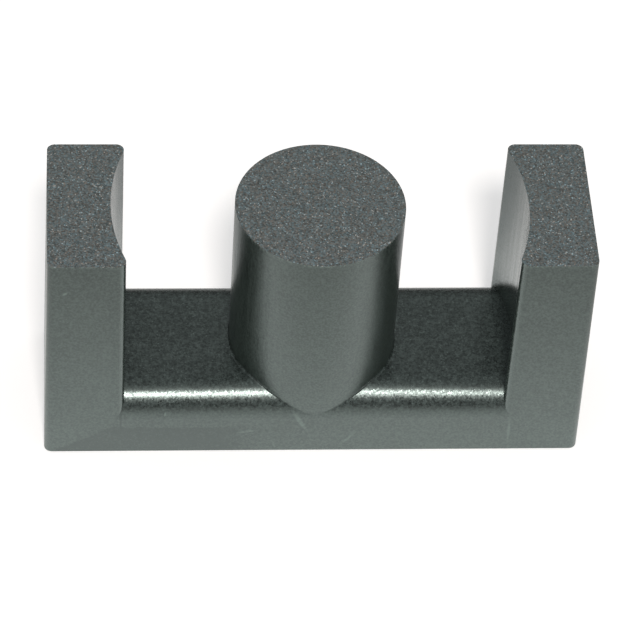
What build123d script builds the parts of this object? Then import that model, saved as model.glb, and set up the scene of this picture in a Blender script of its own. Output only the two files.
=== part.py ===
from build123d import *
import os
from math import sqrt

# One half of an ETD transformer core: a yoke with a round centre post and two outer legs
# whose inner walls are arcs about the post, pressed and sintered in one piece.
# Millimetres. The origin is on the post's axis in the plane of the back face, +X runs along
# the length from leg to leg, +Y across the depth, and +Z along the post to the mating faces.
# The length is the one at the mating faces. The two ends lean in towards those faces, and
# stand end_lean further out at the back.

# ---- outline
length = 34.2
depth = 10.8
height = 17.3
yoke_thickness = 5.2
outer_corner_radius = 0.5
end_lean = 0.28

# ---- winding space
post_diameter = 10.75
leg_arc_diameter = 26.3
leg_corner_radius = 0.5

# ---- edges and roots
floor_edge_radius = 2.0
post_root_radius = 0.15
back_edge_radius = 0.12

# ---- sizes that follow
post_radius = post_diameter / 2
leg_arc_radius = leg_arc_diameter / 2
leg_middle = (leg_arc_radius + length / 2) / 2
edge_radius = min(floor_edge_radius, 0.9 * yoke_thickness, 0.9 * depth / 2)


def edges_on_cylinder(body, radius):
    """The edges that lie on the upright cylinder of this radius about the post's axis."""
    found = []
    for edge in body.edges():
        places = [edge @ t for t in (0.0, 0.25, 0.5, 0.75, 1.0)]
        if all(abs(sqrt(p.X**2 + p.Y**2) - radius) < 0.001 for p in places):
            found.append(edge)
    return found


def is_upright(edge):
    return abs((edge % 0.5).Z) > 0.99


def blank():
    """The block that the die walls form, from back face to mating faces, with leaning ends and
    rounded corners."""
    half_length = length / 2
    half_back = half_length + end_lean
    with BuildSketch(Plane.XZ) as side:
        Polygon((-half_back, 0), (half_back, 0), (half_length, height), (-half_length, height), align=None)
    body = extrude(side.sketch, amount=depth / 2, both=True)
    return fillet([e for e in body.edges() if is_upright(e)], outer_corner_radius)


def yoke():
    """The yoke, rounded over along the front and back edges of its floor, and ending inside
    the legs."""
    with BuildSketch(Plane.YZ) as section:
        Rectangle(depth, yoke_thickness, align=(Align.CENTER, Align.MIN))
        fillet(section.vertices().group_by(Axis.Y)[-1], edge_radius)
    return extrude(section.sketch, amount=leg_middle, both=True)


def post():
    """The round centre post on its yoke, with a small radius where it grows out of the floor."""
    body = yoke() + extrude(Circle(post_radius), amount=height)
    roots = []
    for edge in edges_on_cylinder(body, post_radius):
        middle = edge.center()
        is_seam = is_upright(edge) and abs(middle.Y) < 0.001
        if 0.001 < middle.Z < height - 0.001 and not is_seam:
            roots.append(edge)
    return fillet(roots, post_root_radius) & blank()


def legs():
    """The two outer legs on their yoke, left where the blank lies outside the arc about the
    post, with their inner upright corners rounded. They meet the floor in a crisp corner."""
    body = yoke() + (blank() - Cylinder(leg_arc_radius, 3 * height))
    return fillet([e for e in edges_on_cylinder(body, leg_arc_radius) if is_upright(e)], leg_corner_radius)


def core():
    """The whole core half, with the edge around its back face eased."""
    body = legs() + post()
    back_face = body.faces().sort_by(Axis.Z)[0]
    return fillet(back_face.edges(), back_edge_radius)


os.makedirs("parts", exist_ok=True)
core_half = core()
core_half.label = "core_half"
export_step(core_half, "parts/core_half.step")
print("core_half", round(core_half.volume, 2), "mm3")
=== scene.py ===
from math import radians

import bpy
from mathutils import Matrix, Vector


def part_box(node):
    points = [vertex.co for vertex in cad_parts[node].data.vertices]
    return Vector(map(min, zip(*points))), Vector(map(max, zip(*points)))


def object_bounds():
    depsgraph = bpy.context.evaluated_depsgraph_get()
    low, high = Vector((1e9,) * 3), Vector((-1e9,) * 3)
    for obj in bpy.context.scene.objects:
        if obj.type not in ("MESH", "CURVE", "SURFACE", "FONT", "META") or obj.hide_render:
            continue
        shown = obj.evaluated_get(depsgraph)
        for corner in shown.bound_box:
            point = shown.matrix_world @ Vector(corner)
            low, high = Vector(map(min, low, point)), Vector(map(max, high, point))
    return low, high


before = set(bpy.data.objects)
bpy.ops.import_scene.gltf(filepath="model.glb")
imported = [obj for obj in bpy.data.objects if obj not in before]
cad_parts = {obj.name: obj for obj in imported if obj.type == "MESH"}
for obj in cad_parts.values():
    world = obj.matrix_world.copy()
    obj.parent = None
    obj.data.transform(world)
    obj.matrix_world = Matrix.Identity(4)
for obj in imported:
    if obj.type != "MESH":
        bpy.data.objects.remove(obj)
cad_low, cad_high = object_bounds()

# ---- The core half ----------------------------------------------------------------------
# Half of an ETD transformer core in sintered manganese-zinc ferrite, a dark grey ceramic.
# It is pressed from powder in one die, fired, and ground flat on the three faces that meet
# the other half. So it has three finishes: walls wiped smooth by the die, a grainy floor and
# back from the faces of the punches, and ground ends whose broken crystals sparkle.
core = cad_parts["core_half"]
core_low, core_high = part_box("core_half")
mm = 0.001


def linear(hex_colour):
    """An sRGB hex colour as linear RGBA: each channel goes through the sRGB curve."""
    channels = [int(hex_colour[i:i + 2], 16) / 255 for i in (1, 3, 5)]
    curve = [c / 12.92 if c <= 0.04045 else ((c + 0.055) / 1.055) ** 2.4 for c in channels]
    return (*curve, 1.0)


def node(tree, kind, settings=None, **inputs):
    """Adds a node. settings are its properties. inputs name its sockets, with _ for a space,
    or iN for the socket at place N, and each is a value, another node's output, or another
    node, which stands for its first output."""
    made = tree.nodes.new("ShaderNode" + kind)
    for name, value in (settings or {}).items():
        setattr(made, name, value)
    for name, value in inputs.items():
        socket = made.inputs[int(name[1:]) if name[1:].isdigit() else name.replace("_", " ")]
        if isinstance(value, bpy.types.Node):
            value = value.outputs[0]
        if isinstance(value, bpy.types.NodeSocket):
            tree.links.new(value, socket)
        else:
            socket.default_value = value
    return made


def ferrite_finish():
    """Sintered ferrite, with its three finishes told apart by place and by the way a face points."""
    material = bpy.data.materials.new("sintered_ferrite")
    material.use_nodes = True
    tree = material.node_tree
    tree.nodes.clear()
    place = node(tree, "TexCoord")
    here = place.outputs["Object"]
    at = node(tree, "SeparateXYZ", Vector=here)
    facing = node(tree, "SeparateXYZ", Vector=place.outputs["Normal"])
    times, less = {"operation": "MULTIPLY"}, {"operation": "SUBTRACT"}
    times_plus = {"operation": "MULTIPLY_ADD"}
    soft_step = {"interpolation_type": "SMOOTHSTEP"}
    of_colour = {"data_type": "RGBA"}

    # the ground faces are all that lies in the plane of the mating faces
    skin = 0.02 * mm
    ground = node(tree, "Math", {"operation": "GREATER_THAN"}, i0=at.outputs["Z"], i1=core_high.z - skin)
    # the punches shape what looks up or down, and the die shapes the upright walls
    tilt = node(tree, "Math", {"operation": "ABSOLUTE"}, i0=facing.outputs["Z"])
    punched = node(tree, "MapRange", soft_step, Value=tilt, From_Min=0.05, From_Max=0.5)
    # the arcs inside the legs face back towards the post, and the die polished them most
    inward = node(tree, "Math", times, i0=at.outputs["X"], i1=facing.outputs["X"])
    polished = node(tree, "MapRange", soft_step, Value=inward, From_Min=-1 * mm, From_Max=-7 * mm)

    # crystals are 0.02 mm across, and are drawn at 0.085 mm so that single ones show
    crystal = 0.085 * mm
    crystals = node(tree, "TexVoronoi", Vector=here, Scale=1 / crystal)
    chance = node(tree, "SeparateColor", Color=crystals.outputs["Color"])
    # granules of the pressed powder, 0.14 mm, leave an uneven print in every fired face
    granule = 0.14 * mm
    granules = node(tree, "TexNoise", Vector=here, Scale=1 / granule, Detail=2.0)
    grain = node(tree, "MapRange", soft_step, Value=granules, From_Min=0.35, From_Max=0.65)
    # the punch prints clumps of 0.3 mm on top of that, and a few crystals in them are painted lighter as
    # glints, a painted highlight
    clump = 0.3 * mm
    clumps = node(tree, "TexNoise", Vector=here, Scale=1 / clump, Detail=3.0, Roughness=0.7)
    clumped = node(tree, "MapRange", soft_step, Value=clumps, From_Min=0.38, From_Max=0.68)
    painted_glint = node(tree, "MapRange", soft_step, Value=chance.outputs["Blue"], From_Min=0.93, From_Max=0.98)
    # cloudy patches of 3 mm, where the powder was packed a little more or less
    cloud = 3.0 * mm
    clouds = node(tree, "TexNoise", Vector=here, Scale=1 / cloud, Detail=2.0)
    cloudy = node(tree, "MapRange", soft_step, Value=clouds, From_Min=0.35, From_Max=0.65)
    # draw marks of the die, 0.3 mm apart and 8 mm long, up and down the walls
    draw_gap, draw_length = 0.3 * mm, 8.0 * mm
    drawn_space = node(tree, "Mapping", Vector=here, Scale=(1 / draw_gap, 1 / draw_gap, 1 / draw_length))
    draw_marks = node(tree, "TexNoise", Vector=drawn_space, Scale=1.0, Detail=2.0)
    drawn = node(tree, "MapRange", soft_step, Value=draw_marks, From_Min=0.3, From_Max=0.7)

    # marks of handling on the front of the yoke: place across and up, half length, half width and
    # turn of each, and how much lighter it is
    front = core_low.y
    rubs = [
        (-4.3, 1.9, 0.80, 0.16, 12, 0.8),
        (-2.5, 0.6, 0.45, 0.12, 105, 0.6),
        (2.3, 1.2, 0.95, 0.12, 52, 0.7),
        (-0.9, 2.9, 1.40, 0.22, 118, 1.0),
        (-9.6, 3.6, 0.28, 0.10, 80, 1.2),
        (-16.0, 14.9, 0.35, 0.13, 40, 1.2),
        (12.75, 1.9, 1.60, 0.14, 91, 0.9),
        (-12.45, 2.9, 1.30, 0.10, 90, -0.8),
    ]
    rub_depth = 1.0 * mm
    worn = 0.0
    for across, up, half_length, half_width, turn, lighter in rubs:
        inside = node(tree, "Mapping", {"vector_type": "TEXTURE"}, Vector=here,
                      Location=(across * mm, front, up * mm), Rotation=(0, -radians(turn), 0),
                      Scale=(half_length * mm, rub_depth, half_width * mm))
        reach = node(tree, "VectorMath", {"operation": "LENGTH"}, i0=inside)
        rub = node(tree, "MapRange", soft_step, Value=reach.outputs["Value"], From_Min=0.2, From_Max=1.0,
                   To_Min=1.0, To_Max=0.0)
        worn = node(tree, "Math", times_plus, i0=rub, i1=lighter, i2=worn)

    # a darker stain along the foot of the yoke, at the left, with a slanting end
    stain_height, stain_slope, stain_start, stain_end = 1.9 * mm, 0.58, -16.2 * mm, -2.0 * mm
    shore = node(tree, "Math", times_plus, i0=at.outputs["X"], i1=stain_slope, i2=-stain_start * stain_slope)
    shore = node(tree, "Math", {"operation": "MINIMUM"}, i0=shore, i1=stain_height)
    shore = node(tree, "Math", times_plus, i0=clouds, i1=0.5 * mm, i2=shore)
    above = node(tree, "Math", less, i0=at.outputs["Z"], i1=shore)
    under_shore = node(tree, "MapRange", soft_step, Value=above, From_Min=0.1 * mm, From_Max=0.35 * mm,
                       To_Min=1.0, To_Max=0.0)
    left_part = node(tree, "MapRange", soft_step, Value=at.outputs["X"], From_Min=stain_end,
                     From_Max=stain_end - 5 * mm)
    in_front = node(tree, "MapRange", soft_step, Value=at.outputs["Y"], From_Min=front + 1.0 * mm,
                    From_Max=front + 0.5 * mm)
    stained = node(tree, "Math", times, i0=under_shore, i1=left_part)
    stained = node(tree, "Math", times, i0=stained, i1=in_front)

    # painted highlight: a few crystals on the walls just under the sharp edge round each mating face are
    # painted lighter, as sparkle along that edge
    edge_sparkle_band = node(tree, "MapRange", soft_step, Value=at.outputs["Z"], From_Min=core_high.z - 0.25 * mm,
                     From_Max=core_high.z - 0.05 * mm, To_Min=0.0, To_Max=3.0)
    painted_edge_sparkle = node(tree, "MapRange", soft_step, Value=chance.outputs["Blue"], From_Min=0.6, From_Max=0.8)

    # fired faces: nearly black with a green cast, and each granule a little lighter or darker
    gain = node(tree, "Math", times_plus, i0=chance.outputs["Red"], i1=0.8, i2=0.0)
    gain = node(tree, "Math", times_plus, i0=grain, i1=1.3, i2=gain)
    print_gain = node(tree, "Math", times_plus, i0=clumped, i1=1.6, i2=-0.5)
    # painted highlight: the glinting crystals of the punched faces are lightened in the colour
    print_gain = node(tree, "Math", times_plus, i0=painted_glint, i1=2.0, i2=print_gain)
    gain = node(tree, "Math", times_plus, i0=punched, i1=print_gain, i2=gain)
    gain = node(tree, "Math", times_plus, i0=drawn, i1=0.2, i2=gain)
    gain = node(tree, "Math", times_plus, i0=cloudy, i1=0.2, i2=gain)
    gain = node(tree, "Math", times_plus, i0=worn, i1=2.6, i2=gain)
    # painted highlight: sparkle along the edges of the mating faces
    gain = node(tree, "Math", times_plus, i0=painted_edge_sparkle, i1=edge_sparkle_band, i2=gain)
    gain = node(tree, "Math", times_plus, i0=stained, i1=-1.3, i2=gain)
    gain = node(tree, "Math", {"operation": "MAXIMUM"}, i0=gain, i1=0.1)
    fired_base = node(tree, "Mix", of_colour, i0=punched, i6=linear("#262d2a"), i7=linear("#262c2b"))
    fired_colour = node(tree, "VectorMath", {"operation": "SCALE"}, i0=fired_base.outputs[2], i3=gain)

    # ground faces: broken crystals from blue grey to brown grey, and one in thirty of them painted bright as
    # a painted sparkle
    cut_base = node(tree, "Mix", of_colour, i0=chance.outputs["Green"], i6=linear("#4e6067"),
                    i7=linear("#625b55"))
    painted_sparkle = node(tree, "MapRange", soft_step, Value=chance.outputs["Blue"], From_Min=0.95, From_Max=0.975)
    cut_gain = node(tree, "Math", times_plus, i0=chance.outputs["Red"], i1=1.1, i2=0.3)
    cut_gain = node(tree, "Math", times_plus, i0=painted_sparkle, i1=2.6, i2=cut_gain)
    cut_gain = node(tree, "Math", times_plus, i0=grain, i1=0.3, i2=cut_gain)
    cut_colour = node(tree, "VectorMath", {"operation": "SCALE"}, i0=cut_base.outputs[2], i3=cut_gain)
    colour = node(tree, "Mix", of_colour, i0=ground, i6=fired_colour, i7=cut_colour)

    # satin where the die wiped it, a little rougher between the draw marks
    plain_wall = node(tree, "Mix", i0=drawn, i2=0.33, i3=0.39)
    polished_wall = node(tree, "Mix", i0=drawn, i2=0.2, i3=0.27)
    wall_roughness = node(tree, "Mix", i0=polished, i2=plain_wall, i3=polished_wall)
    punched_roughness = node(tree, "Mix", i0=chance.outputs["Green"], i2=0.25, i3=0.37)
    fired_roughness = node(tree, "Mix", i0=punched, i2=wall_roughness, i3=punched_roughness)
    ground_roughness = node(tree, "Mix", i0=chance.outputs["Green"], i2=0.5, i3=0.75)
    roughness = node(tree, "Mix", i0=ground, i2=fired_roughness, i3=ground_roughness)

    # each crystal faces its own way: much on the ground ends, less under the punch, least on walls
    fired_lean = node(tree, "Mix", i0=punched, i2=0.05, i3=0.07)
    lean = node(tree, "Mix", i0=ground, i2=fired_lean, i3=0.5)
    leaning = node(tree, "VectorMath", less, i0=crystals.outputs["Color"], i1=(0.5, 0.5, 0.5))
    leaning = node(tree, "VectorMath", {"operation": "SCALE"}, i0=leaning, i3=lean)
    faced = node(tree, "VectorMath", {"operation": "ADD"}, i0=place.outputs["Normal"], i1=leaning)
    faced = node(tree, "VectorMath", {"operation": "NORMALIZE"}, i0=faced)
    body = node(tree, "BsdfPrincipled", Base_Color=colour.outputs[2], Roughness=roughness, IOR=2.0,
                Specular_Tint=(0.83, 1.0, 0.96, 1.0), Normal=faced)
    node(tree, "OutputMaterial", Surface=body)
    return material


core.data.materials.clear()
core.data.materials.append(ferrite_finish())

# ---- The table --------------------------------------------------------------------------
# A sheet of white paper that the core stands on. It reads as white to the eye and it keeps the soft shadow
# at the foot of the core. In the core's gloss it glows brightest next to the core and less from 22 mm out, a
# painted reflection that lightens the core's fronts low down.
table_side = 3.0
paper = bpy.data.materials.new("white_paper")
paper.use_nodes = True
sheet = paper.node_tree
sheet.nodes.clear()
ray = node(sheet, "LightPath")
spot = node(sheet, "TexCoord")
# how far a spot lies from the foot of the core
mirrored = node(sheet, "VectorMath", {"operation": "ABSOLUTE"}, i0=spot.outputs["Object"])
outside = node(sheet, "VectorMath", {"operation": "SUBTRACT"}, i0=mirrored,
               i1=(core_high.x, core_high.y, 0))
outside = node(sheet, "VectorMath", {"operation": "MAXIMUM"}, i0=outside, i1=(0, 0, 0))
away = node(sheet, "VectorMath", {"operation": "LENGTH"}, i0=outside)
# painted reflection: the paper glows in the core's gloss, most near the core
gloss_glow_falloff = node(sheet, "MapRange", Value=away.outputs["Value"], From_Min=1 * mm, From_Max=22 * mm,
            To_Min=0.68, To_Max=-0.22)
painted_gloss_glow = node(sheet, "Math", {"operation": "MULTIPLY"}, i0=ray.outputs["Is Glossy Ray"], i1=gloss_glow_falloff)
to_eye = node(sheet, "Math", {"operation": "MULTIPLY_ADD"}, i0=ray.outputs["Is Camera Ray"], i1=0.4,
              i2=painted_gloss_glow)
matt = node(sheet, "BsdfDiffuse", Color=linear("#f0f0f0"))
glow = node(sheet, "Emission", Color=(1, 1, 1, 1), Strength=to_eye)
both = node(sheet, "AddShader", i0=matt, i1=glow)
node(sheet, "OutputMaterial", Surface=both)
bpy.ops.mesh.primitive_plane_add(size=table_side, location=(0, 0, cad_low.z))
table = bpy.context.object
table.name = "table"
table.data.materials.append(paper)

# ---- The light --------------------------------------------------------------------------
# One small soft box high in front of the core, in a pale room that is darker low down.
lamp_distance = 0.6
lamp_data = bpy.data.lights.new("soft_box", "AREA")
lamp_data.shape = "DISK"
lamp_data.size = 0.08
lamp_data.energy = 2.0
lamp_data.color = (1.0, 0.94, 0.9)
lamp_place = Vector((0, -0.616, 0.788)) * lamp_distance
lamp = bpy.data.objects.new("soft_box", lamp_data)
lamp.location = lamp_place
lamp.rotation_euler = (-lamp_place).to_track_quat("-Z", "Y").to_euler()
bpy.context.scene.collection.objects.link(lamp)

room = bpy.data.worlds.new("room")
bpy.context.scene.world = room
room.use_nodes = True
air = room.node_tree
air.nodes.clear()
sight = node(air, "LightPath")
sky = node(air, "TexCoord")
height = node(air, "SeparateXYZ", Vector=sky.outputs["Generated"])
dusk = node(air, "MapRange", Value=height.outputs["Z"], From_Min=0.1, From_Max=0.7, To_Min=0.03, To_Max=0.28)
plain = node(air, "Mix", i0=sight.outputs["Is Glossy Ray"], i2=0.4, i3=dusk)
level = node(air, "Mix", i0=sight.outputs["Is Camera Ray"], i2=plain, i3=1.0)
backdrop = node(air, "Background", Color=(1, 1, 1, 1), Strength=level)
node(air, "OutputWorld", Surface=backdrop)

# ---- The camera -------------------------------------------------------------------------
# A long lens that looks down on the front of the core from a little to the left.
camera_data = bpy.data.cameras.new("camera")
camera_data.lens = 201.53
camera_data.sensor_width = 36.0
camera_data.clip_start = 0.01
camera = bpy.data.objects.new("camera", camera_data)
camera.location = (-0.016374, -0.157752, 0.176335)
camera.rotation_euler = (0.750496, -0.050745, -0.052215)
bpy.context.scene.collection.objects.link(camera)
bpy.context.scene.camera = camera

bpy.context.scene.view_settings.view_transform = "Standard"
